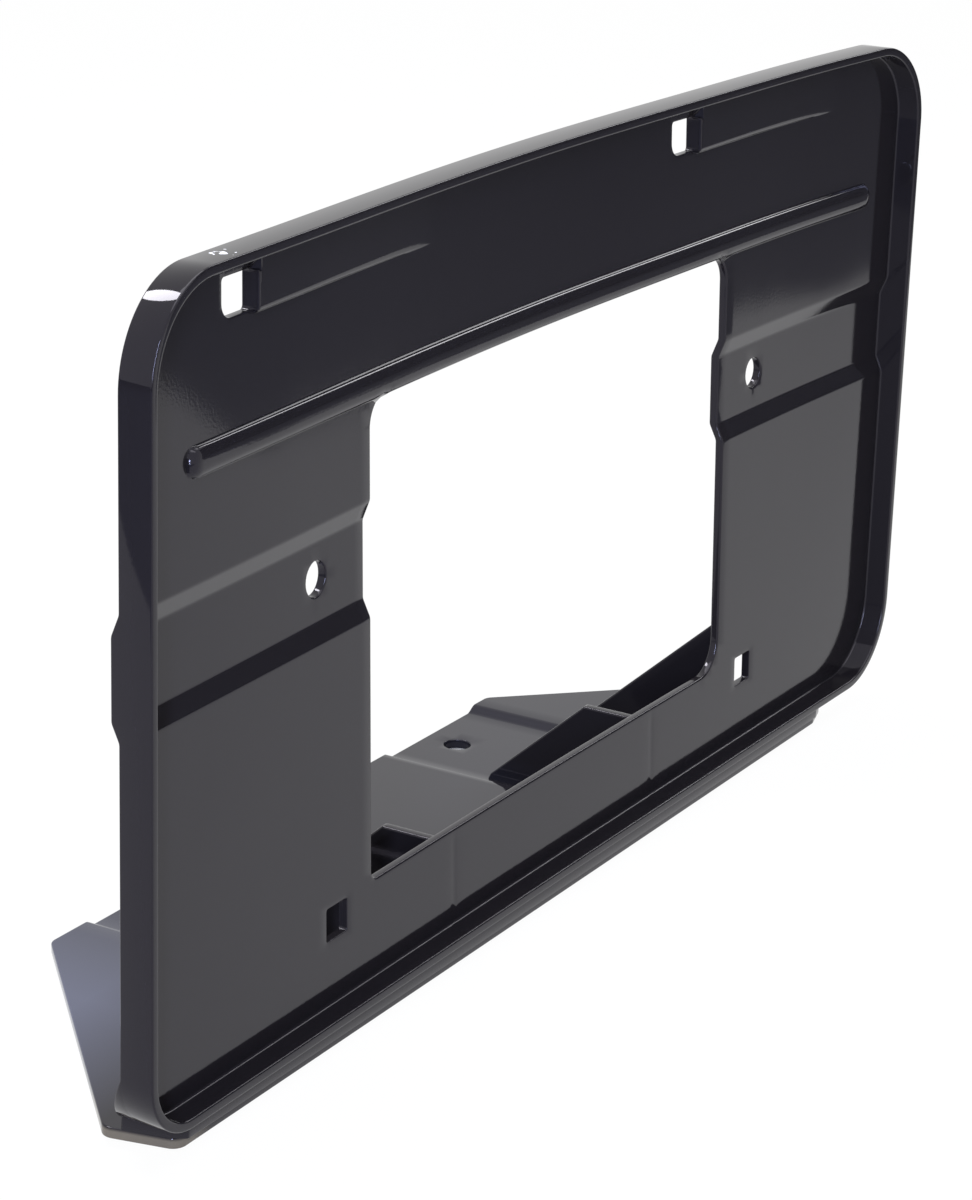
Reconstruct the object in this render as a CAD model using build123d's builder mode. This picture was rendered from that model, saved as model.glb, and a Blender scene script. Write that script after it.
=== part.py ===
from build123d import *
import os

# Number plate holder, moulded as one piece in black plastic. Millimetres.
# X runs to the right as one faces the plate, Y runs back towards the car, Z is up.
# It is drawn from the middle of the rim's front edge, at the level of the rim's lower face, and then
# set in its own frame, whose origin is midway between the bolt holes on the underside of the shelf's seats.

# Rim and panel
rim_wide = 318
rim_high = 162
wall = 2.0
panel_set_back = 5.3
corner_radius = 20
corner_radius_lower_left = 13
lip_rounding = 0.7

# The middle stands further back than the ends, most of all along the top edge. Each station gives the
# distance from the middle, as a share of half the rim's width, and the share of the bow that is found there.
bow_at_foot = 0.7
bow_at_top = 7.2
bow_stations = [
    (-1.0377, -0.04),
    (-1.0, 0.0),
    (-0.6918, 0.36),
    (-0.3774, 0.78),
    (0.0, 1.0),
    (0.3774, 0.82),
    (0.6918, 0.58),
    (1.0, 0.0),
    (1.0377, -0.09),
]

# Set-back band across the middle of the panel, with a ramp at each edge
band_set_back = 1.7
band_low = 81.3
band_high = 100.8
band_ramp = 3.4

# Window
window_wide = 151.5
window_foot = 23
window_top = 122.5
window_radius_top = 6
window_radius_lower_right = 8
window_radius_lower_left = 2

# Bead above the window
bead_centre_x = 1.5
bead_long = 284
bead_high = 6.2
bead_level = 125.3
bead_raise = 1.7
bead_rounding = 1.3

# Slots at the top, each with a raised pad to its right that fades into the panel
slot_wide = 9.6
slot_foot = 149
slot_top = 156.7
slot_left_ends = (-128.8, 48.9)
slot_radius = 0.8
slot_radius_lower_left = 3.2
pad_long = 67
pad_foot = 148.3
pad_top = rim_high - wall / 2
pad_raise = 1.8
pad_bury = 0.1
pad_bevel = 0.6

# Screw holes in the band, and square holes near the foot for the plate's own nuts
screw_hole_radius = 3.6
screw_hole_x = 93.5
screw_hole_level = 91
nut_hole_wide = 7.5
nut_hole_high = 7.0
nut_hole_x = 88.9
nut_hole_level = 19.3

# Shelf under the rim, by which the holder is bolted down
shelf_top = -2.0
shelf_thick = 2.3
shelf_front = 1.8
shelf_side_back = 16.7
shelf_back = 75
shelf_left_end = -148.3
shelf_left_side = -151.8
shelf_left_back = -91.7
shelf_right_end = 122
shelf_right_side = 144
shelf_right_back = 85.6
shelf_right_run = 8
shelf_right_rise = 2.2
shelf_corner_radius = 3

# Web between the rim and the shelf, and the rim's wall drawn on behind the panel at the lower left corner
web_set_back = 0.3
web_corner = 1.8
web_thick = 2.5
rib_back = 13.3
rib_top = 13

# Lowered seats in the shelf, open at the back
seat_drop = 1.5
seat_inner = 38
seat_outer = 80
seat_inner_slope = 2
seat_outer_slope = 3.5
seat_front = 9.5
seat_front_slope = 1.5
seat_middle = (seat_inner + seat_outer) / 2
seat_floor_wide = seat_outer - seat_outer_slope - seat_inner - seat_inner_slope
seat_floor_middle = seat_inner + seat_inner_slope + seat_floor_wide / 2
bolt_hole_radius = 3.25
bolt_hole_x = 57
bolt_hole_y = 66

# Gussets between the panel and the shelf
gusset_thick = 2.3
gusset_inner_x = 43.5
gusset_outer_x = 80
gusset_front = 7.3
gusset_toe = 48
gusset_peak = 35
gusset_outer_top = 33.5
gusset_inner_top = 20
gusset_bury = 2

# Cuts start this far before the rim's front edge, and run through everything behind it.
past = 10
through = 40
before = Plane.XZ.offset(past)
rearward = (0, 1, 0)


def bow_depth(level):
    """How far the middle of the holder is set back at this height."""
    return bow_at_foot + (bow_at_top - bow_at_foot) * level / rim_high


def bow_share(x):
    """Share of the bow that is found at this distance from the middle."""
    part = 2 * x / rim_wide
    left, right = [(a, b) for a, b in zip(bow_stations, bow_stations[1:]) if a[0] <= part <= b[0]][0]
    return left[1] + (right[1] - left[1]) * (part - left[0]) / (right[0] - left[0])


def gusset_slope_y(level):
    """Where the gussets' sloping edge stands at this height."""
    return gusset_toe - (gusset_toe - gusset_front) * (level - shelf_top) / (gusset_peak - shelf_top)


def bowed_slab(levels):
    """Solid between two bowed walls, given as (height, front, rear) from the foot up."""
    with BuildPart() as slab:
        for level, front, rear in levels:
            depth = bow_depth(level)
            front_points = [(part * rim_wide / 2, front + depth * share) for part, share in bow_stations]
            rear_points = [(part * rim_wide / 2, rear + depth * share) for part, share in bow_stations]
            with BuildSketch(Plane.XY.offset(level)):
                with BuildLine():
                    Spline(*front_points)
                    Spline(*rear_points)
                    Line(front_points[0], rear_points[0])
                    Line(front_points[-1], rear_points[-1])
                make_face()
        loft(ruled=True)
    return slab.part


def banded(front, rear):
    """Levels for a slab whose rear wall follows the panel's set-back band."""
    half_ramp = band_ramp / 2
    steps = [
        (-past, 0),
        (band_low - half_ramp, 0),
        (band_low + half_ramp, band_set_back),
        (band_high - half_ramp, band_set_back),
        (band_high + half_ramp, 0),
        (rim_high + past, 0),
    ]
    return [(level, front, rear + step) for level, step in steps]


def rounded_face(left, right, foot, top, radii):
    """Upright face in front of the holder, with its own radius at each corner from the lower left on."""
    with BuildSketch(before) as face:
        with BuildLine():
            FilletPolyline((left, foot), (right, foot), (right, top), (left, top), radius=radii, close=True)
        make_face()
    return face.sketch


def rim_face(inset):
    """The rim's outline, drawn in by the given amount."""
    corners = (corner_radius_lower_left, corner_radius, corner_radius, corner_radius)
    radii = [corner - inset for corner in corners]
    half = rim_wide / 2 - inset
    return rounded_face(-half, half, inset, rim_high - inset, radii)


with BuildPart() as recess:
    extrude(rim_face(wall), amount=through, dir=rearward)
    add(bowed_slab(banded(-past, panel_set_back)), mode=Mode.INTERSECT)

with BuildPart() as bead:
    with BuildSketch(before):
        with Locations((bead_centre_x, bead_level)):
            SlotOverall(bead_long, bead_high)
    extrude(amount=-through)
    bead_front = panel_set_back - bead_raise
    bead_rear = panel_set_back + wall / 2
    add(bowed_slab([(z, bead_front, bead_rear) for z in (-past, rim_high)]), mode=Mode.INTERSECT)
    fillet(bead.faces().sort_by(Axis.Y)[0].edges(), bead_rounding)

# Each pad is highest at its left end, beside the slot, and dies away towards the right. Its edges at the slot
# and at its foot are bevelled.
pads = []
for slot_left in slot_left_ends:
    pad_left = slot_left + slot_wide
    with BuildPart() as pad:
        for level, foot_drop in ((pad_foot, pad_bevel), (pad_foot + pad_bevel, 0), (pad_top, 0)):
            front_points = []
            rear_points = []
            for run in (0, pad_bevel, 0.25 * pad_long, 0.5 * pad_long, 0.75 * pad_long, pad_long):
                face_y = panel_set_back + bow_depth(level) * bow_share(pad_left + run)
                mouth_drop = pad_bevel if run == 0 else 0
                fade = (pad_raise + pad_bury) * run / pad_long
                front_points.append((pad_left + run, face_y - pad_raise + fade + foot_drop + mouth_drop))
                rear_points.append((pad_left + run, face_y + wall / 2))
            with BuildSketch(Plane.XY.offset(level)):
                with BuildLine():
                    Polyline(*front_points, *reversed(rear_points), close=True)
                make_face()
        loft(ruled=True)
    pads.append(pad.part)

# The rim's wall runs on behind the panel at the lower left corner, and slopes down to the shelf's side edge.
with BuildPart() as corner_rib:
    extrude(rim_face(0), amount=through, dir=rearward)
    extrude(rim_face(wall), amount=through, dir=rearward, mode=Mode.SUBTRACT)
    with BuildSketch(Plane.XY.offset(shelf_top - shelf_thick / 2)):
        with BuildLine():
            Polyline(
                (shelf_left_end + web_corner, shelf_front + web_set_back),
                (shelf_left_end - web_set_back, shelf_front + web_corner),
                (shelf_left_side + web_corner / 2, rib_back),
                (shelf_left_side + web_corner / 2 + web_thick, rib_back),
                (shelf_left_end + web_corner + web_thick, shelf_front + web_set_back),
                close=True,
            )
        make_face()
    extrude(amount=shelf_thick / 2 - shelf_top + wall)
    with BuildSketch(Plane.YZ.offset(-rim_wide / 2)):
        with BuildLine():
            Polyline(
                (shelf_front + web_set_back, shelf_top - shelf_thick / 2),
                (rib_back, shelf_top - shelf_thick / 2),
                (rib_back, shelf_top),
                (panel_set_back + wall, rib_top),
                (shelf_front + web_set_back, rib_top),
                close=True,
            )
        make_face()
    extrude(amount=shelf_left_end + web_corner + web_thick + rim_wide / 2, mode=Mode.INTERSECT)

with BuildPart() as moulding:
    # Rim and panel: the rim's outline, back as far as the panel's rear face
    extrude(rim_face(0), amount=through, dir=rearward)
    add(bowed_slab(banded(-past, panel_set_back + wall)), mode=Mode.INTERSECT)
    add(bowed_slab([(level, 0, through) for level in (-past, rim_high + past)]), mode=Mode.INTERSECT)
    add(recess.part, mode=Mode.SUBTRACT)
    lip = moulding.faces().filter_by(lambda face: len(face.inner_wires()) == 1)
    fillet(lip.edges(), lip_rounding)

    # Web from the rim's lower face down to the shelf
    with BuildSketch(Plane.XY.offset(shelf_top - shelf_thick / 2)):
        with BuildLine():
            web_front = shelf_front + web_set_back
            web_rear = panel_set_back + wall
            Polyline(
                (shelf_left_end + web_corner, web_front),
                (shelf_right_end, web_front),
                (shelf_right_end + web_corner, web_rear),
                (shelf_left_end + web_corner, web_rear),
                close=True,
            )
        make_face()
    extrude(amount=shelf_thick / 2 - shelf_top + wall / 2)
    add(corner_rib.part)

    # Shelf: straight at the back, drawn in at 45 degrees to each side, cut back at the front right
    with BuildSketch(Plane.XY.offset(shelf_top - shelf_thick)) as shelf_outline:
        with BuildLine():
            Polyline(
                (shelf_left_end, shelf_front),
                (shelf_right_end, shelf_front),
                (shelf_right_end + shelf_right_run, shelf_front + shelf_right_rise),
                (shelf_right_side, shelf_side_back),
                (shelf_right_back, shelf_back),
                (shelf_left_back, shelf_back),
                (shelf_left_side, shelf_side_back),
                close=True,
            )
        make_face()
        fillet(shelf_outline.vertices(), shelf_corner_radius)
    extrude(amount=shelf_thick)

    # Seats: a tray pressed down in the shelf on each side, and the shelf's thickness carried under it
    for side in (-1, 1):
        for top, back, mode in (
            (shelf_top - shelf_thick, shelf_back, Mode.ADD),
            (shelf_top, shelf_back + past, Mode.SUBTRACT),
        ):
            floor_front = seat_front + seat_front_slope
            with BuildSketch(Plane.XY.offset(top)):
                with Locations((side * seat_middle, (seat_front + back) / 2)):
                    Rectangle(seat_outer - seat_inner, back - seat_front)
            with BuildSketch(Plane.XY.offset(top - seat_drop)):
                with Locations((side * seat_floor_middle, (floor_front + back) / 2)):
                    Rectangle(seat_floor_wide, back - floor_front)
            loft(mode=mode)
    with Locations(*[(side * bolt_hole_x, bolt_hole_y, shelf_top) for side in (-1, 1)]):
        Hole(bolt_hole_radius)

    # Gussets: the outer two run up beside the window, the inner two stop below its lower edge
    for x, top in ((gusset_outer_x, gusset_outer_top), (gusset_inner_x, gusset_inner_top)):
        for side in (-1, 1):
            with BuildSketch(Plane.YZ.offset(side * x - gusset_thick / 2)):
                with BuildLine():
                    Polyline(
                        (gusset_front, shelf_top - gusset_bury),
                        (gusset_toe, shelf_top - gusset_bury),
                        (gusset_toe, shelf_top),
                        (gusset_slope_y(top), top),
                        (gusset_front, top),
                        close=True,
                    )
                make_face()
            extrude(amount=gusset_thick)

    # Slots, then the bead and the pads
    with BuildSketch(before) as slots:
        for slot_left in slot_left_ends:
            slot_right = slot_left + slot_wide
            with BuildLine():
                FilletPolyline(
                    (slot_left, slot_foot),
                    (slot_right, slot_foot),
                    (slot_right, slot_top),
                    (slot_left, slot_top),
                    radius=[slot_radius_lower_left, slot_radius, slot_radius, slot_radius],
                    close=True,
                )
            make_face()
    extrude(slots.sketch, amount=through, dir=rearward, mode=Mode.SUBTRACT)
    add(bead.part)
    add(pads)

    # Window and holes go through the panel from front to back
    window_radii = [window_radius_lower_left, window_radius_lower_right, window_radius_top, window_radius_top]
    window = rounded_face(-window_wide / 2, window_wide / 2, window_foot, window_top, window_radii)
    extrude(window, amount=through, dir=rearward, mode=Mode.SUBTRACT)
    with BuildSketch(before) as openings:
        with Locations((-screw_hole_x, screw_hole_level), (screw_hole_x, screw_hole_level)):
            Circle(screw_hole_radius)
        with Locations((-nut_hole_x, nut_hole_level), (nut_hole_x, nut_hole_level)):
            Rectangle(nut_hole_wide, nut_hole_high)
    extrude(openings.sketch, amount=through, dir=rearward, mode=Mode.SUBTRACT)

with BuildPart() as plate_holder:
    with Locations((0, -bolt_hole_y, shelf_thick + seat_drop - shelf_top)):
        add(moulding.part)

plate_holder.part.label = "plate_holder"
print("volume", plate_holder.part.volume, "solids", len(plate_holder.part.solids()))
os.makedirs("parts", exist_ok=True)
export_step(plate_holder.part, "parts/plate_holder.step")
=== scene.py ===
from math import cos, pi, radians, sin

import bpy
import numpy as np
from mathutils import Matrix, Vector
from mathutils.geometry import delaunay_2d_cdt


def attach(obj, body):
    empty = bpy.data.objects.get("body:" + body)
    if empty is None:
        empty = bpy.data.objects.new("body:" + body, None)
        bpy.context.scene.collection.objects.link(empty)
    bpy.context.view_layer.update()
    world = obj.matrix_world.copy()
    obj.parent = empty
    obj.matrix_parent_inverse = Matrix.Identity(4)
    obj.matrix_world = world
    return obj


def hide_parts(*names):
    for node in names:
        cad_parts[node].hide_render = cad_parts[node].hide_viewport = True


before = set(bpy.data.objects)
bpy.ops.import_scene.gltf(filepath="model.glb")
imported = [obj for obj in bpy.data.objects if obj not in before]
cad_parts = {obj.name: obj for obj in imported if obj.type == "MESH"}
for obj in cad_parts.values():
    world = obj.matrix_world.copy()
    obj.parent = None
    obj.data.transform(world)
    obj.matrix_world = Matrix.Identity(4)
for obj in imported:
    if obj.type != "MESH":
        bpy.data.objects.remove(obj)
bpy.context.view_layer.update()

# The whole moulding
# One injection moulding in black ABS, with walls of 2 mm. All its sizes are in millimetres from the
# middle of the rim's front edge, at the rim's lower face. The frame's origin lies further back, between
# the shelf's bolt holes, and on the underside of its seats.
wall = 2.0
bolt_hole_y = 66
seat_under_rim = 5.8
moulding_points = []
moulding_faces = []
moulding_polish = []


def add_to_moulding(points, faces, polish):
    """Adds a shell in millimetres. Its polish is 1 on the smooth rim and 0 on the panel."""
    first = len(moulding_points)
    placed = (np.asarray(points, float) + (0, -bolt_hole_y, seat_under_rim)) / 1000
    moulding_points.extend(placed.tolist())
    moulding_faces.extend([[first + i for i in face] for face in faces])
    moulding_polish.extend(polish)


# Rim and panel
# A tray: the rim stands forward of the panel, and the panel carries a set-back band, a bead, two raised
# pads and its openings. Ends and foot stayed true in the mould, and the middle has bowed back. Corners and
# their radii run round from the lower left to the lower right.
rim_wide = 318
rim_high = 162
panel_set_back = 5.3
corner_radii = [13, 20, 20, 20]
lip_radius = 0.4
inner_bend = 0.45
outer_bend = 0.35
bow_at_foot = 0.7
bow_at_top = 7.2
bow_x = np.array([-159.0, -110, -60, 0, 60, 110, 159])
bow_shares = np.array([0, 0.36, 0.78, 1, 0.82, 0.58, 0])
band_set_back = 1.7
band_ramps = ((80.4, 3.6), (100.4, 4.2))
ramp_soft = 0.4
bead_ends = (-140.5, 143.5)
bead_level = 125.3
bead_half = 3.1
bead_raise = 1.75
bead_shoulder = 2.6
slot_lefts = (-128.8, 48.9)
slot_wide = 9.6
slot_levels = (149, 156.7)
slot_radii = [3.2, 0.8, 0.8, 0.8]
pad_long = 67
pad_foot = 148.3
pad_raise = 1.8
pad_shoulder = 1.3
pad_mouth_shoulder = 0.5
pad_mouth_share = 0.8
window_half = 75.75
window_levels = (23, 122.5)
window_radii = [2, 8, 6, 6]
window_bend = 0.5
slot_bend = 0.3
screw_hole_x = 93.5
screw_hole_level = 91
screw_hole_radius = 3.6
screw_hole_bend = 0.35
nut_hole_x = 88.9
nut_hole_level = 19.3
nut_hole_half = (3.75, 3.5)
nut_hole_corner = 0.5
nut_hole_bend = 0.2
gusset_inner_x = 43.5
sink_depth = 0.05
sink_half = 1.7
sink_fades_over = (20, 24)


def bend_of_curve(x, y):
    """Second slopes at the stations of a smooth curve whose ends are straight."""
    step = np.diff(x)
    count = len(x)
    table = np.zeros((count, count))
    goal = np.zeros(count)
    table[0, 0] = table[-1, -1] = 1
    for i in range(1, count - 1):
        table[i, i - 1 : i + 2] = step[i - 1], 2 * (step[i - 1] + step[i]), step[i]
        goal[i] = 6 * ((y[i + 1] - y[i]) / step[i] - (y[i] - y[i - 1]) / step[i - 1])
    return np.linalg.solve(table, goal)


bow_bend = bend_of_curve(bow_x, bow_shares)


def bow(x, z):
    """How far back the holder has bowed at this place."""
    i = np.clip(np.searchsorted(bow_x, x) - 1, 0, len(bow_x) - 2)
    step = bow_x[i + 1] - bow_x[i]
    a = (bow_x[i + 1] - x) / step
    b = 1 - a
    bend = (a**3 - a) * bow_bend[i] + (b**3 - b) * bow_bend[i + 1]
    share = a * bow_shares[i] + b * bow_shares[i + 1] + bend * step**2 / 6
    return share * (bow_at_foot + (bow_at_top - bow_at_foot) * z / rim_high)


def ease(value, start, stop):
    """Goes softly from 0 at start to 1 at stop."""
    t = np.clip((value - start) / (stop - start), 0, 1)
    return t * t * (3 - 2 * t)


def shoulder(depth, radius):
    """Rounded shoulder of a raised form: 0 at its edge and 1 from the radius inwards."""
    t = np.clip(depth / radius, 0, 1)
    return np.sqrt(1 - (1 - t) ** 2)


def bent(value, soft):
    """Flat below 0 and rising one to one above it, with a soft bend between."""
    return np.where(abs(value) < soft, (value + soft) ** 2 / (4 * soft), np.maximum(value, 0))


def straight_ramp(value, start, stop):
    """Goes straight from 0 at start to 1 at stop, with soft bends at both."""
    return (bent(value - start, ramp_soft) - bent(value - stop, ramp_soft)) / (stop - start)


def band_step(z):
    """How far the band is set back at this level."""
    low, high = band_ramps
    rise = straight_ramp(z, low[0] - low[1] / 2, low[0] + low[1] / 2)
    fall = straight_ramp(z, high[0] - high[1] / 2, high[0] + high[1] / 2)
    return band_set_back * (rise - fall)


def raised(x, z):
    """How far the bead and the pads stand out of the panel."""
    end_gap = np.maximum(np.maximum(bead_ends[0] + bead_half - x, x - bead_ends[1] + bead_half), 0)
    height = bead_raise * shoulder(bead_half - np.hypot(end_gap, z - bead_level), bead_shoulder)
    for slot_left in slot_lefts:
        pad_left = slot_left + slot_wide
        fade = np.clip(1 - (x - pad_left) / pad_long, 0, 1) * (x > pad_left - 0.01)
        foot = shoulder(z - pad_foot, pad_shoulder)
        mouth = pad_mouth_share + (1 - pad_mouth_share) * shoulder(x - pad_left, pad_mouth_shoulder)
        height = height + pad_raise * fade * foot * mouth
    return height


def sink_marks(x, z):
    """Shallow hollows where the gussets join behind."""
    across = np.minimum(abs(x - gusset_inner_x), abs(x + gusset_inner_x))
    below = 1 - ease(z, *sink_fades_over)
    return sink_depth * ease(-across, -sink_half, 0) * below


def panel_front(x, z):
    """Depth of the panel's front face behind the rim's front edge."""
    return panel_set_back + bow(x, z) + band_step(z) - raised(x, z) + sink_marks(x, z)


def panel_rear(x, z):
    """Depth of its rear face, which is plain behind the bead and the pads."""
    return panel_set_back + wall + bow(x, z) + band_step(z)


def lines_with(start, stop, spacing, details, closest=0.12, clear_share=0.4):
    """Evenly spaced lines, with finer ones put in where a detail needs them."""
    details = sorted(details)
    kept = [details[0]]
    for line in details[1:]:
        if line - kept[-1] > closest:
            kept.append(line)
    even = np.linspace(start, stop, round((stop - start) / spacing) + 1)
    clear = spacing * clear_share
    free = [line for line in even if min(abs(line - other) for other in kept) > clear]
    return np.array(sorted(kept + free))


def around(centre, half, count):
    """Lines spread over a detail, from its middle to both sides."""
    return list(np.linspace(centre - half, centre + half, count))


def outline(corners, radii, u_lines, v_lines, arc_step=1.2, arc_turn=radians(9), closest=0.25):
    """Closed outline with rounded corners, counter-clockwise, with points where the lines cross it."""
    corners = [Vector(corner) for corner in corners]
    arcs = []
    for i, corner in enumerate(corners):
        before = (corners[i - 1] - corner).normalized()
        after = (corners[(i + 1) % len(corners)] - corner).normalized()
        half = before.angle(after) / 2
        centre = corner + (before + after).normalized() * radii[i] / sin(half)
        first = corner + before * radii[i] / np.tan(half) - centre
        turn = pi - 2 * half
        turn *= 1 if before.cross(after) < 0 else -1
        count = max(4, round(radii[i] * abs(turn) / arc_step), round(abs(turn) / arc_turn))
        arc = []
        for k in range(count + 1):
            angle = turn * k / count
            u = centre.x + first.x * cos(angle) - first.y * sin(angle)
            v = centre.y + first.x * sin(angle) + first.y * cos(angle)
            arc.append((u, v))
        arcs.append(arc)
    points = []
    for i, arc in enumerate(arcs):
        points.extend(arc)
        start = np.array(arc[-1])
        run = np.array(arcs[(i + 1) % len(arcs)][0]) - start
        shares = []
        for axis, lines in enumerate((u_lines, v_lines)):
            if abs(run[axis]) > 2 * closest:
                shares.extend((lines - start[axis]) / run[axis])
        length = np.hypot(*run)
        last = 0
        for share in sorted(shares):
            if share * length > last + closest and share * length < length - closest:
                points.append(tuple(start + share * run))
                last = share * length
    return np.array(points)


def circle(centre_x, centre_z, radius, count=28):
    """Closed round outline, counter-clockwise."""
    turn = np.arange(count) * 2 * pi / count
    return np.stack([centre_x + radius * np.cos(turn), centre_z + radius * np.sin(turn)], 1)


def side_of(ring):
    """Unit directions that point into the outline, one for each of its points."""
    ahead = np.roll(ring, -1, axis=0) - ring
    ahead /= np.hypot(ahead[:, 0], ahead[:, 1])[:, None]
    mean = ahead + np.roll(ahead, 1, axis=0)
    mean /= np.hypot(mean[:, 0], mean[:, 1])[:, None]
    return np.stack([-mean[:, 1], mean[:, 0]], 1)


def depth_in(points, ring, at_once=2000):
    """Distance of each point from a closed outline, positive inside it."""
    ends = np.roll(ring, -1, axis=0)
    run = ends - ring
    rise = np.where(run[:, 1] == 0, 1, run[:, 1])
    result = []
    for some in np.array_split(points, max(1, len(points) // at_once)):
        p = some[:, None, :]
        share = np.clip(((p - ring) * run).sum(2) / (run**2).sum(1), 0, 1)
        gap = np.sqrt(((ring + share[..., None] * run - p) ** 2).sum(2)).min(1)
        crosses = (ring[:, 1] > p[..., 1]) != (ends[:, 1] > p[..., 1])
        left = p[..., 0] < ring[:, 0] + (p[..., 1] - ring[:, 1]) * run[:, 0] / rise
        inside = (crosses & left).sum(1) % 2 == 1
        result.append(np.where(inside, gap, -gap))
    return np.concatenate(result)


def rounded_edge(radius, steps=4):
    """Edge of a sheet from its front to its rear face: (inset, face it is measured from, depth)."""
    angles = [pi / 2 * k / steps for k in range(steps + 1)]
    front = [(radius * (1 - sin(a)), "front", radius * (1 - cos(a))) for a in angles]
    rear = [(radius * (1 - sin(a)), "rear", -radius * (1 - cos(a))) for a in reversed(angles)]
    return front + rear


def sheet(edges, faces_of, u_lines, v_lines, place, polish, edge_gap=0.2):
    """A wall with a front and a rear face. Each edge is (outline, its rounding, whether it is a hole),
    and polish has one share for each edge, from its rounding to the first line inside it."""
    points = []
    shares = []
    faces = []
    ends = []
    for number, (ring, rounding, is_hole) in enumerate(edges):
        inwards = side_of(ring) * (-1 if is_hole else 1)
        previous = None
        for inset, base, offset in rounding:
            at = ring + inwards * inset
            w = faces_of[base](at[:, 0], at[:, 1]) + offset
            row = np.arange(len(points), len(points) + len(ring))
            points.extend(np.column_stack([at, w]).tolist())
            shares.extend([polish[number]] * len(ring))
            if previous is None:
                first = row
            else:
                for k in range(len(ring)):
                    n = (k + 1) % len(ring)
                    faces.append([previous[k], previous[n], row[n], row[k]])
            previous = row
        ends.append((first, previous))
    grid = np.stack(np.meshgrid(u_lines, v_lines), 2).reshape(-1, 2)
    for side, base in enumerate(("front", "rear")):
        rows = [end[side] for end in ends]
        rims = [np.array([points[i][:2] for i in row]) for row in rows]
        keep = np.ones(len(grid), bool)
        for rim, (_, _, is_hole) in zip(rims, edges):
            depth = depth_in(grid, rim) * (-1 if is_hole else 1)
            keep &= depth > edge_gap
        inner = grid[keep]
        w = faces_of[base](inner[:, 0], inner[:, 1])
        inner_row = np.arange(len(points), len(points) + len(inner))
        points.extend(np.column_stack([inner, w]).tolist())
        shares.extend([0] * len(inner))
        flat = [Vector(p) for rim in rims for p in rim] + [Vector(p) for p in inner]
        numbers = [i for row in rows for i in row] + list(inner_row)
        bounds = []
        start = 0
        for rim in rims:
            bounds.extend([(start + k, start + (k + 1) % len(rim)) for k in range(len(rim))])
            start += len(rim)
        out, _, triangles, origins, _, _ = delaunay_2d_cdt(flat, bounds, [], 1, 1e-6)
        middles = np.array([[sum(out[i][k] for i in tri) / 3 for k in (0, 1)] for tri in triangles])
        good = np.ones(len(triangles), bool)
        for rim, (_, _, is_hole) in zip(rims, edges):
            good &= (depth_in(middles, rim) > 0) != is_hole
        for tri, is_good in zip(triangles, good):
            if is_good:
                corner = [numbers[origins[i][0]] for i in tri]
                faces.append(corner if base == "front" else corner[::-1])
    add_to_moulding([place(*point) for point in points], faces, shares)


# The lines of the panel's mesh lie close where a shoulder or a ramp bends.
panel_margin = 3
panel_spacing = (3.2, 2.8)
window_arc_step = 0.7
small_arc_step = 0.4
band_lines = []
for middle, width in band_ramps:
    band_lines += [middle - 0.6, middle + 0.6]
    for end in (middle - width / 2, middle + width / 2):
        band_lines += around(end, 0.55, 6)
bead_depths = (-0.4, -0.15, 0, 0.15, 0.4, 0.75, 1.15, 1.6, 2.1, 2.6, 2.9)
bead_lines = []
for side in (-1, 1):
    bead_lines += [bead_level + side * (bead_half - depth) for depth in bead_depths]
pad_lines = [pad_foot + depth for depth in (-0.4, -0.15, 0, 0.15, 0.4, 0.8, 1.3, 1.5, 2.0)]
window_lines = [22, 24, 121, 124]
level_lines = band_lines + bead_lines + pad_lines + window_lines
panel_v = lines_with(panel_margin, rim_high - panel_margin, panel_spacing[1], level_lines)
mouth_depths = (-0.15, 0.02, 0.2, 0.5, 0.9, 1.3)
mouth_lines = []
for slot_left in slot_lefts:
    mouth_lines += [slot_left + slot_wide + depth for depth in mouth_depths]
end_depths = (-0.15, 0, 0.15, 0.4, 0.75, 1.15, 1.6, 2.3, 3.1)
end_lines = []
for end, side in zip(bead_ends, (1, -1)):
    end_lines += [end + side * depth for depth in end_depths]
sink_lines = around(-gusset_inner_x, sink_half, 7) + around(gusset_inner_x, sink_half, 7)
upright_lines = mouth_lines + end_lines + sink_lines
half = rim_wide / 2
panel_u = lines_with(panel_margin - half, half - panel_margin, panel_spacing[0], upright_lines)

# The rim's wall in section: the inner bend at the panel, two round lips in front and the bend behind.
quarter = [pi / 2 * k / 5 for k in range(6)]
rim_section = [(wall + inner_bend * (1 - sin(a)), "front", -inner_bend * (1 - cos(a))) for a in quarter]
rim_section += [(wall - lip_radius * (1 - cos(a)), "lip", lip_radius * (1 - sin(a))) for a in quarter]
rim_section += [(lip_radius * (1 - sin(a)), "lip", lip_radius * (1 - cos(a))) for a in quarter]
rim_section += [(outer_bend * (1 - cos(a)), "rear", -outer_bend * (1 - sin(a))) for a in quarter]
rim_corners = [(-half, 0), (half, 0), (half, rim_high), (-half, rim_high)]
low, high = window_levels
window_corners = [(-window_half, low), (window_half, low), (window_half, high), (-window_half, high)]
window_ring = outline(window_corners, window_radii, panel_u, panel_v, window_arc_step)
panel_edges = [
    (outline(rim_corners, corner_radii, panel_u, panel_v), rim_section, False),
    (window_ring, rounded_edge(window_bend), True),
]
for slot_left in slot_lefts:
    right = slot_left + slot_wide
    low, high = slot_levels
    corners = [(slot_left, low), (right, low), (right, high), (slot_left, high)]
    slot_ring = outline(corners, slot_radii, panel_u, panel_v, small_arc_step)
    panel_edges.append((slot_ring, rounded_edge(slot_bend), True))
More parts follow.
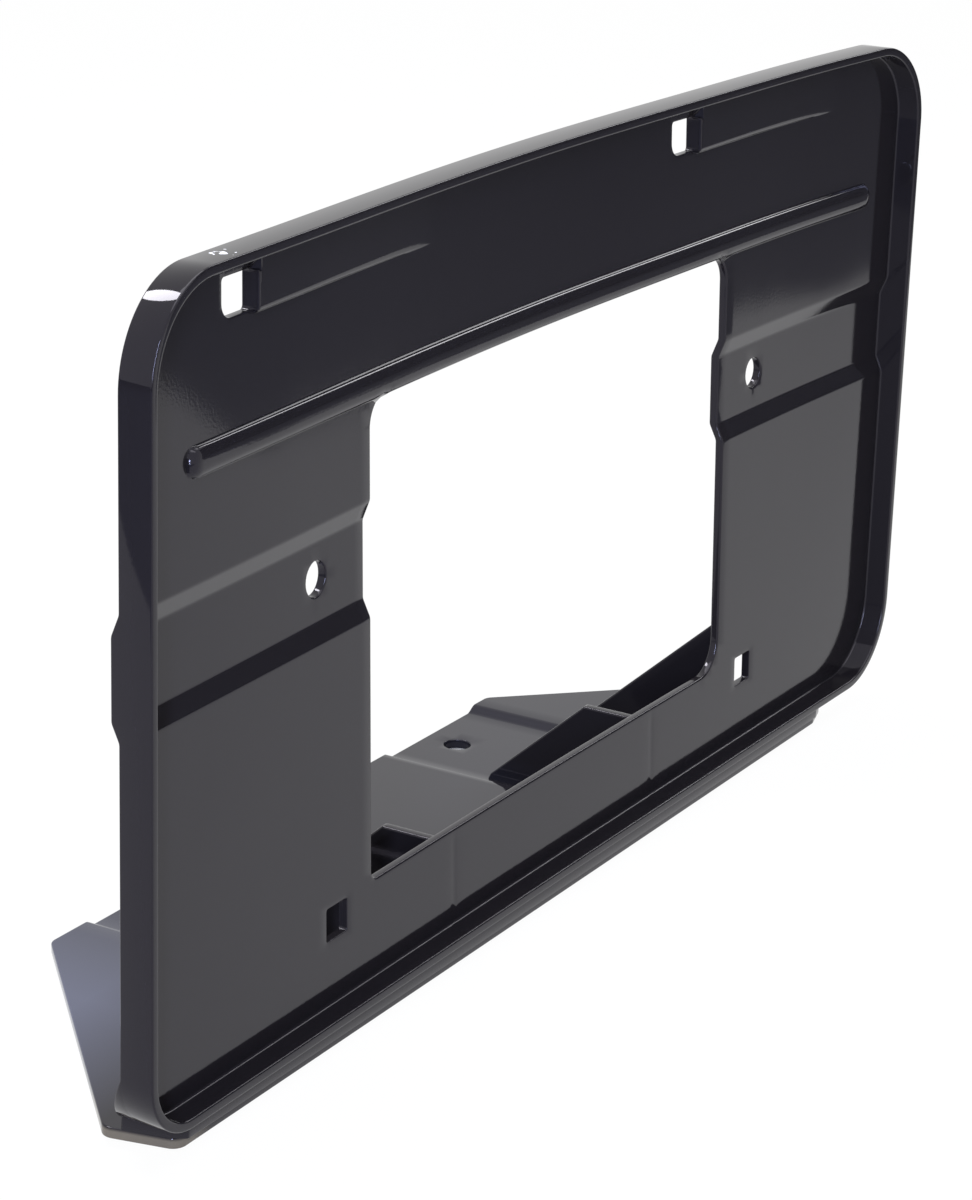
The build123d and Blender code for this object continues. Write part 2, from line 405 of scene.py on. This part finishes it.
for side in (-1, 1):
    screw_ring = circle(side * screw_hole_x, screw_hole_level, screw_hole_radius)
    panel_edges.append((screw_ring, rounded_edge(screw_hole_bend), True))
    x, z = side * nut_hole_x, nut_hole_level
    wide, tall = nut_hole_half
    corners = [(x - wide, z - tall), (x + wide, z - tall), (x + wide, z + tall), (x - wide, z + tall)]
    nut_ring = outline(corners, [nut_hole_corner] * 4, panel_u, panel_v, small_arc_step)
    panel_edges.append((nut_ring, rounded_edge(nut_hole_bend), True))
lip_inside = 0.01
sheet(
    panel_edges,
    {"front": panel_front, "rear": panel_rear, "lip": lambda x, z: bow(x, z) + lip_inside},
    panel_u,
    panel_v,
    lambda x, z, y: (x, y, z),
    [1] + [0] * (len(panel_edges) - 1),
)

# Shelf
# A flat plate moulded under the rim, drawn in at 45 degrees to both sides. Two seats are let down in it,
# open at the back, and a bolt goes down through each.
shelf_top = -2.0
shelf_thick = 2.3
shelf_front = 1.8
shelf_back = 75
shelf_side_back = 16.7
shelf_corners = [
    (-148.3, shelf_front),
    (122, shelf_front),
    (130, shelf_front + 2.2),
    (144, shelf_side_back),
    (85.6, shelf_back),
    (-91.7, shelf_back),
    (-151.8, shelf_side_back),
]
shelf_corner_radius = 3
shelf_bend = 0.35
shelf_polish = 0.6
seat_drop = 1.5
seat_inner = (38, 40)
seat_outer = (76.5, 80)
seat_front = (9.5, 11)
bolt_hole_x = 57
bolt_hole_radius = 3.25
bolt_hole_bend = 0.3


def shelf_face(x, y):
    """Depth of the shelf's upper face, with its two seats."""
    across = ease(abs(x), *seat_inner) * (1 - ease(abs(x), *seat_outer))
    return -shelf_top + seat_drop * across * ease(y, *seat_front)


def ramp_lines(ramp, count, side=1):
    """Lines over one of the seats' ramps."""
    start, stop = ramp
    return around(side * (start + stop) / 2, (stop - start) / 2, count)


seat_lines = []
for side in (-1, 1):
    seat_lines += ramp_lines(seat_inner, 7, side) + ramp_lines(seat_outer, 9, side)
shelf_spacing = 4
shelf_u = lines_with(-153, 153, shelf_spacing, seat_lines)
shelf_v = lines_with(3, 73, shelf_spacing, ramp_lines(seat_front, 6))
shelf_radii = [shelf_corner_radius] * len(shelf_corners)
shelf_ring = outline(shelf_corners, shelf_radii, shelf_u, shelf_v)
shelf_edges = [(shelf_ring, rounded_edge(shelf_bend), False)]
for side in (-1, 1):
    bolt_ring = circle(side * bolt_hole_x, bolt_hole_y, bolt_hole_radius)
    shelf_edges.append((bolt_ring, rounded_edge(bolt_hole_bend), True))
sheet(
    shelf_edges,
    {"front": shelf_face, "rear": lambda x, y: shelf_face(x, y) + shelf_thick},
    shelf_u,
    shelf_v,
    lambda x, y, depth: (x, y, -depth),
    [shelf_polish] * len(shelf_edges),
)

# Web
# A low rib that joins the rim's lower face to the shelf all along. At the left it turns the corner and
# runs back along the shelf's side edge, and the rim's wall is drawn on behind the panel to meet it.
web_levels = (1, -2.3)
web_front = 0.9
web_rear = 7.3
web_left = -146.5
web_bend = 0.2
web_spacing = 5.0
rib_back = 13.3
rib_top = 13
rib_run = 30
rib_bend = (0.1, 0.15)
rib_overlap = 0.3
rib_sunk = 0.02
rib_turn_end = 0.78
rib_polish = 0.8
web_corners = [
    (web_left, web_front),
    (122, web_front),
    (123.8, web_rear),
    (-146.6, web_rear),
    (-148.3, rib_back),
    (-150.9, rib_back),
    (-148.6, 3.6),
]
web_radii = [0.8, 0.8, 0.8, 0.8, 0.4, 0.4, 0.8]
web_u = np.arange(-145, 120, web_spacing)
web_v = np.array([web_spacing])
sheet(
    [(outline(web_corners, web_radii, web_u, web_v), rounded_edge(web_bend, 2), False)],
    {"front": lambda x, y: 0 * x - web_levels[0], "rear": lambda x, y: 0 * x - web_levels[1]},
    web_u,
    web_v,
    lambda x, y, depth: (x, y, -depth),
    [shelf_polish],
)


def along_corner(turn, inset):
    """Point of the rim's outline: down the side wall (-1 to 0) and round the corner (0 to 1)."""
    radius = corner_radii[0]
    if turn < 0:
        return inset - rim_wide / 2, radius - turn * rib_run
    angle = pi + turn * pi / 2
    return (
        radius - rim_wide / 2 + (radius - inset) * cos(angle),
        radius + (radius - inset) * sin(angle),
    )


# Each station of the drawn-on wall has six points: three outside, from front to rear, and three inside.
# It starts a hair under the rim's face, so that the two faces don't fight.
rib_points = []
rib_turns = np.concatenate([np.linspace(-1, 0, 7)[:-1], np.linspace(0, rib_turn_end, 15)])
rib_start = web_rear - outer_bend - rib_overlap
for turn in rib_turns:
    for inset in (0, wall):
        x, z = along_corner(turn, inset)
        share = np.clip((rib_top - z) / (rib_top - shelf_top), 0, 1)
        back = web_rear + (rib_back - web_rear) * share - outer_bend * ease(-turn, 0, 1)
        for y, sunk in ((rib_start, rib_sunk), (back - rib_bend[1], 0), (back, rib_bend[0])):
            rib_points.append((x + (sunk if inset == 0 else 0), y, z))
rib_section = (0, 1, 2, 5, 4, 3)
last = len(rib_points) - len(rib_section)
rib_faces = [rib_section, tuple(last + i for i in reversed(rib_section))]
for here in range(0, last, len(rib_section)):
    ahead = here + len(rib_section)
    for low, high in zip(rib_section, rib_section[1:]):
        rib_faces.append((here + low, ahead + low, ahead + high, here + high))
add_to_moulding(rib_points, rib_faces, [rib_polish] * len(rib_points))

# Gussets
# Four thin triangles moulded on behind, to brace the panel. The outer two run up beside the window, and
# the inner two are cut level, below its lower edge.
gusset_outer_x = 80
gusset_thick = 2.3
gusset_front = 7.3
gusset_toe = 48
gusset_peak = 35
gusset_outer_top = 33.5
gusset_inner_top = 20
gusset_root = -4.0
gusset_radii = [0.5, 0.5, 0.5, 1.0, 0.5]
gusset_bend = 0.45
gusset_polish = 0.3
gusset_u = np.arange(10, gusset_toe, 3.0)
for gusset_x, top in ((gusset_outer_x, gusset_outer_top), (gusset_inner_x, gusset_inner_top)):
    gusset_v = np.arange(shelf_top, top, 3.0)
    slope_y = gusset_toe - (gusset_toe - gusset_front) * (top - shelf_top) / (gusset_peak - shelf_top)
    corners = [(gusset_front, gusset_root), (gusset_toe + 1, gusset_root), (gusset_toe, shelf_top)]
    corners += [(slope_y, top), (gusset_front, top)]
    gusset_ring = outline(corners, gusset_radii, gusset_u, gusset_v)
    for side in (-1, 1):
        left = side * gusset_x - gusset_thick / 2
        sheet(
            [(gusset_ring, rounded_edge(gusset_bend), False)],
            {"front": lambda y, z: 0 * y + left, "rear": lambda y, z: 0 * y + left + gusset_thick},
            gusset_u,
            gusset_v,
            lambda y, z, x: (x, y, z),
            [gusset_polish],
        )

# Black ABS, moulded
# Dyed through, so it is one deep black. The rim took a polish from the mould and mirrors the studio in a
# crisp line, and the panel has a fine satin grain that spreads the same light. Dust lies on the shelf's
# left end, and its fade near the panel is painted shade. A brown-grey on the shelf's lower left edge is a
# painted reflection, and white specks on the rim over the left slot are a painted glint.
abs_ior = 1.36
mirror_tint = "#efebf9"
dyed_black = "#181618"
dust_grey = "#565969"
# Brown-grey that paints a reflection on the shelf's lower left edge.
painted_reflection_brown = "#5e574a"
# White specks that paint a glint on the rim over the left slot.
glint_white = "#e4e4e8"
glint_place = (-0.131, -0.0608, 0.1678)
glint_reach = 0.005
satin_roughness = (0.06, 0.085)
polish_gain = 0.03
grain_left_on_rim = 0.25
grain_deep = 0.000006
waves_deep = 0.00015
crease_angle = radians(40)


def linear(hex_colour):
    """Linear colour of an sRGB hex value."""
    parts = [int(hex_colour[i : i + 2], 16) / 255 for i in (1, 3, 5)]
    return [part / 12.92 if part <= 0.04045 else ((part + 0.055) / 1.055) ** 2.4 for part in parts] + [1]


def node(tree, kind, settings=None, feeds=None):
    """Adds a node. Settings are its own or its inputs', and feeds are what leads into its inputs. An
    input is called by its number where several have one name."""
    made = tree.nodes.new(kind)
    for name, value in (settings or {}).items():
        if isinstance(name, str) and hasattr(made, name):
            setattr(made, name, value)
        else:
            made.inputs[name].default_value = value
    for name, socket in (feeds or {}).items():
        tree.links.new(socket, made.inputs[name])
    return made


abs_black = bpy.data.materials.new("moulded_black_abs")
abs_black.use_nodes = True
tree = abs_black.node_tree
surface = tree.nodes["Principled BSDF"]
surface.inputs["IOR"].default_value = abs_ior
surface.inputs["Specular Tint"].default_value = linear(mirror_tint)
place = node(tree, "ShaderNodeTexCoord").outputs["Object"]
at = node(tree, "ShaderNodeSeparateXYZ", feeds={"Vector": place}).outputs

# Dust, a little over all of the shelf and most at its left end, behind the panel. Its fade to black near
# the panel and over the middle of the shelf is painted shade of the panel.
low_down = node(
    tree,
    "ShaderNodeMapRange",
    {"From Min": 0.003, "From Max": 0.009, "To Min": 1.0, "To Max": 0.0},
    {"Value": at["Z"]},
).outputs["Result"]
# Painted shade: the grey thins out over the middle and right of the shelf, behind the window.
far_left = node(
    tree,
    "ShaderNodeMapRange",
    {"From Min": -0.06, "From Max": -0.11, "To Min": 0.06, "To Max": 0.9},
    {"Value": at["X"]},
).outputs["Result"]
# Painted shade: the grey fades to black near the panel, where the panel's shadow falls.
behind = node(
    tree, "ShaderNodeMapRange", {"From Min": -0.048, "From Max": -0.014}, {"Value": at["Y"]}
).outputs["Result"]
on_shelf = node(
    tree, "ShaderNodeMath", {"operation": "MULTIPLY"}, {0: low_down, 1: far_left}
).outputs["Value"]
dust_and_panel_shade = node(
    tree, "ShaderNodeMath", {"operation": "MULTIPLY"}, {0: on_shelf, 1: behind}
).outputs["Value"]
with_dust_and_panel_shade = node(
    tree,
    "ShaderNodeMix",
    {"data_type": "RGBA", 6: linear(dyed_black), 7: linear(dust_grey)},
    {0: dust_and_panel_shade},
).outputs[2]

# A painted reflection: a brown-grey at the shelf's left end and low down, which lightens it as if it
# mirrored the paper.
at_end = node(
    tree, "ShaderNodeMapRange", {"From Min": -0.138, "From Max": -0.144}, {"Value": at["X"]}
).outputs["Result"]
at_foot = node(
    tree, "ShaderNodeMapRange", {"From Min": 0.0037, "From Max": 0.0031}, {"Value": at["Z"]}
).outputs["Result"]
painted_reflection = node(
    tree, "ShaderNodeMath", {"operation": "MULTIPLY"}, {0: at_end, 1: at_foot}
).outputs["Value"]
with_edge = node(
    tree,
    "ShaderNodeMix",
    {"data_type": "RGBA", 7: linear(painted_reflection_brown)},
    {0: painted_reflection, 6: with_dust_and_panel_shade},
).outputs[2]

# A painted glint: white specks on the rim over the left slot, that thin out away from its middle.
specks = node(
    tree, "ShaderNodeTexNoise", {"Scale": 650.0, "Detail": 1.0}, {"Vector": place}
).outputs["Fac"]
away = node(
    tree, "ShaderNodeVectorMath", {"operation": "DISTANCE", 1: glint_place}, {0: place}
).outputs["Value"]
nearby = node(
    tree,
    "ShaderNodeMapRange",
    {"From Min": 0.0, "From Max": glint_reach, "To Min": 0.1, "To Max": -0.4},
    {"Value": away},
).outputs["Result"]
speckle = node(
    tree, "ShaderNodeMath", {"operation": "ADD"}, {0: specks, 1: nearby}
).outputs["Value"]
glint_specks = node(
    tree, "ShaderNodeMapRange", {"From Min": 0.5, "From Max": 0.53}, {"Value": speckle}
).outputs["Result"]
with_glint = node(
    tree,
    "ShaderNodeMix",
    {"data_type": "RGBA", 7: linear(glint_white)},
    {0: glint_specks, 6: with_edge},
).outputs[2]
tree.links.new(with_glint, surface.inputs["Base Color"])

# Gloss: a satin that wanders a little over the panel, and smoother on the polished rim.
polish = node(tree, "ShaderNodeAttribute", {"attribute_name": "polish"}).outputs["Fac"]
cloud = node(
    tree, "ShaderNodeTexNoise", {"Scale": 22.0, "Detail": 4.0}, {"Vector": place}
).outputs["Fac"]
satin = node(
    tree,
    "ShaderNodeMapRange",
    {"From Min": 0.3, "From Max": 0.7, "To Min": satin_roughness[0], "To Max": satin_roughness[1]},
    {"Value": cloud},
).outputs["Result"]
smoother = node(
    tree, "ShaderNodeMapRange", {"To Min": 0.0, "To Max": -polish_gain}, {"Value": polish}
).outputs["Result"]
roughness = node(
    tree, "ShaderNodeMath", {"operation": "ADD"}, {0: satin, 1: smoother}
).outputs["Value"]
tree.links.new(roughness, surface.inputs["Roughness"])

# Relief: a grain of about half a millimetre, as coarse as it needs to be to show at all, and the soft
# waves that a moulded sheet keeps.
grain = node(
    tree, "ShaderNodeTexNoise", {"Scale": 1700.0, "Detail": 2.0}, {"Vector": place}
).outputs["Fac"]
grain_strength = node(
    tree, "ShaderNodeMapRange", {"To Min": 1.0, "To Max": grain_left_on_rim}, {"Value": polish}
).outputs["Result"]
grained = node(
    tree, "ShaderNodeBump", {"Distance": grain_deep}, {"Strength": grain_strength, "Height": grain}
).outputs["Normal"]
waves = node(
    tree, "ShaderNodeTexNoise", {"Scale": 35.0, "Detail": 1.0}, {"Vector": place}
).outputs["Fac"]
waved = node(
    tree,
    "ShaderNodeBump",
    {"Strength": 0.35, "Distance": waves_deep},
    {"Height": waves, "Normal": grained},
).outputs["Normal"]
tree.links.new(waved, surface.inputs["Normal"])

moulding_mesh = bpy.data.meshes.new("holder_moulding")
moulding_mesh.from_pydata(moulding_points, [], moulding_faces)
moulding_mesh.validate()
kept = moulding_mesh.attributes.new("polish", "FLOAT", "POINT")
kept.data.foreach_set("value", np.array(moulding_polish, np.float32))
moulding_mesh.materials.append(abs_black)
moulding_mesh.polygons.foreach_set("use_smooth", [True] * len(moulding_mesh.polygons))
moulding_mesh.set_sharp_from_angle(angle=crease_angle)
moulding = bpy.data.objects.new("holder_moulding", moulding_mesh)
bpy.context.scene.collection.objects.link(moulding)
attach(moulding, "root")
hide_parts("plate_holder")
print("triangles", sum(len(p.vertices) - 2 for p in moulding_mesh.polygons))

# Floor
# A sheet of white paper that the holder stands on. It glows white to the eye, but not under the shelf,
# where the bolt holes show a grey patch without the glow: painted shade, darker than the paper's own
# white.
paper_white = "#ececec"
paper_seen = 0.97
# Grey of the patch under the shelf, a painted shade.
shade_grey = "#8f8f90"
shade_level = 0.0001
shade_outline = [(-0.13, -0.055), (0.115, -0.055), (0.08, 0.005), (-0.085, 0.005)]
floor_half = 4.0
floor_mesh = bpy.data.meshes.new("floor")
corners = [(-1, -1), (1, -1), (1, 1), (-1, 1)]
floor_mesh.from_pydata([(x * floor_half, y * floor_half, 0) for x, y in corners], [], [(0, 1, 2, 3)])
floor = bpy.data.objects.new("floor", floor_mesh)
bpy.context.scene.collection.objects.link(floor)
paper = bpy.data.materials.new("white_paper")
paper.use_nodes = True
tree = paper.node_tree
surface = tree.nodes["Principled BSDF"]
surface.inputs["Base Color"].default_value = linear(paper_white)
surface.inputs["Roughness"].default_value = 0.9


def seen_straight(tree):
    """1 for rays from the camera, from a gloss or through glass, and 0 for the room's soft light."""
    path = node(tree, "ShaderNodeLightPath").outputs
    seen = path["Is Camera Ray"]
    for kind in ("Is Glossy Ray", "Is Transmission Ray"):
        larger = node(tree, "ShaderNodeMath", {"operation": "MAXIMUM"}, {0: seen, 1: path[kind]})
        seen = larger.outputs["Value"]
    return seen


seen = node(
    tree, "ShaderNodeMath", {"operation": "MULTIPLY", 1: paper_seen}, {0: seen_straight(tree)}
).outputs["Value"]
glow = node(tree, "ShaderNodeEmission", {"Color": (1, 1, 1, 1), "Strength": 1.0}).outputs["Emission"]
blend = node(
    tree, "ShaderNodeMixShader", feeds={0: seen, 1: surface.outputs["BSDF"], 2: glow}
).outputs["Shader"]
tree.links.new(blend, tree.nodes["Material Output"].inputs["Surface"])
floor_mesh.materials.append(paper)
shade_mesh = bpy.data.meshes.new("shaded_paper")
shade_mesh.from_pydata([(x, y, shade_level) for x, y in shade_outline], [], [(0, 1, 2, 3)])
shade = bpy.data.objects.new("shaded_paper", shade_mesh)
bpy.context.scene.collection.objects.link(shade)
# Painted shade: grey paper under the shelf, without the glow.
painted_shade_paper = bpy.data.materials.new("painted_shade_paper")
painted_shade_paper.use_nodes = True
surface = painted_shade_paper.node_tree.nodes["Principled BSDF"]
surface.inputs["Base Color"].default_value = linear(shade_grey)
surface.inputs["Roughness"].default_value = 0.9
shade_mesh.materials.append(painted_shade_paper)

# Grey cloth
# Laid over the paper in front and to the right, hung up behind there, and laid at the left too. The
# upper half of the panel and of the left wall mirrors it and goes dark. It shows in the gloss alone.
cloth_grey = "#6a6a70"
cloth_level = 0.001
cloth_near = [(0.275, -0.283), (3, -0.566), (3, -1.2), (1.0, -1.2)]
cloth_left = [(-3, -3), (-0.44, -3), (-0.44, 3), (-3, 3)]
cloth_hung = [(1.0, -1.2), (1.9, -1.2), (1.9, 0.2)]
cloth_top = 1.7
cloth_points = [(x, y, cloth_level) for x, y in cloth_near + cloth_left]
cloth_points += [(x, y, z) for x, y in cloth_hung for z in (cloth_level, cloth_top)]
cloth_mesh = bpy.data.meshes.new("grey_cloth")
cloth_faces = [(0, 1, 2, 3), (4, 5, 6, 7), (8, 10, 11, 9), (10, 12, 13, 11)]
cloth_mesh.from_pydata(cloth_points, [], cloth_faces)
cloth = bpy.data.objects.new("grey_cloth", cloth_mesh)
bpy.context.scene.collection.objects.link(cloth)
cloth.visible_camera = False
cloth.visible_diffuse = False
cloth.visible_shadow = False
flannel = bpy.data.materials.new("grey_flannel")
flannel.use_nodes = True
surface = flannel.node_tree.nodes["Principled BSDF"]
surface.inputs["Base Color"].default_value = linear(cloth_grey)
surface.inputs["Roughness"].default_value = 1.0
surface.inputs["Specular IOR Level"].default_value = 0.0
cloth_mesh.materials.append(flannel)

# Light
# A bright white room and a wide soft box overhead. Three small lamps draw the glints: one behind for the
# upper left corner, a tall one at the left for its front edge, and a tall one at the right for the bead
# and the edges.
room_seen = 1.0
room_fill = 0.45
world = bpy.data.worlds.new("studio")
bpy.context.scene.world = world
world.use_nodes = True
tree = world.node_tree
level = node(
    tree,
    "ShaderNodeMapRange",
    {"To Min": room_fill, "To Max": room_seen},
    {"Value": seen_straight(tree)},
).outputs["Result"]
tree.links.new(level, tree.nodes["Background"].inputs["Strength"])
tree.nodes["Background"].inputs["Color"].default_value = (1, 1, 1, 1)


def area_lamp(name, at, towards, size, power, colour="#ffffff", on_matt=0.05):
    """Soft lamp. On_matt is its share of light on what doesn't shine."""
    lamp = bpy.data.lights.new(name, "AREA")
    lamp.shape = "ELLIPSE"
    lamp.size, lamp.size_y = size
    lamp.energy = power
    lamp.color = linear(colour)[:3]
    lamp.diffuse_factor = on_matt
    holder = bpy.data.objects.new(name, lamp)
    holder.location = at
    holder.rotation_euler = (Vector(towards) - Vector(at)).to_track_quat("-Z", "Y").to_euler()
    bpy.context.scene.collection.objects.link(holder)


area_lamp(
    "overhead_box",
    at=(0.1, -0.1, 1.3),
    towards=(0, -0.05, 0.05),
    size=(1.35, 1.35),
    power=14,
    on_matt=1,
)
area_lamp(
    "rear_lamp",
    at=(-0.1, 0.73, 1.31),
    towards=(-0.15, -0.06, 0.16),
    size=(0.3, 0.44),
    power=9,
)
area_lamp(
    "left_lamp",
    at=(-1.2, -0.6, 0.62),
    towards=(-0.15, -0.06, 0.15),
    size=(0.16, 0.9),
    power=26,
    colour="#cfdaff",
    on_matt=0.02,
)
area_lamp(
    "right_lamp",
    at=(1.13, -0.25, 0.86),
    towards=(-0.05, -0.06, 0.12),
    size=(0.16, 0.7),
    power=2.6,
)

# Camera
# Stands left of the holder and looks across its front, from a little above.
view_turn = radians(-59.83)
view_rise = radians(18.86)
view_roll = radians(1.83)
view_target = Vector((-0.0449, -0.066, 0.08092))
view_distance = 0.69723
focal_pixels = 3455.1
image_tall = 1200
back = Vector((sin(view_turn) * cos(view_rise), -cos(view_turn) * cos(view_rise), sin(view_rise)))
level_right = Vector((cos(view_turn), sin(view_turn), 0))
level_up = back.cross(level_right)
right = level_right * cos(view_roll) + level_up * sin(view_roll)
up = level_up * cos(view_roll) - level_right * sin(view_roll)
camera_data = bpy.data.cameras.new("camera")
camera_data.sensor_width = 36
camera_data.lens = focal_pixels / image_tall * camera_data.sensor_width
camera_data.clip_start = 0.02
camera = bpy.data.objects.new("camera", camera_data)
turned = Matrix((right, up, back)).transposed().to_4x4()
camera.matrix_world = Matrix.Translation(view_target + back * view_distance) @ turned
bpy.context.scene.collection.objects.link(camera)
bpy.context.scene.camera = camera
bpy.context.scene.view_settings.view_transform = "Standard"
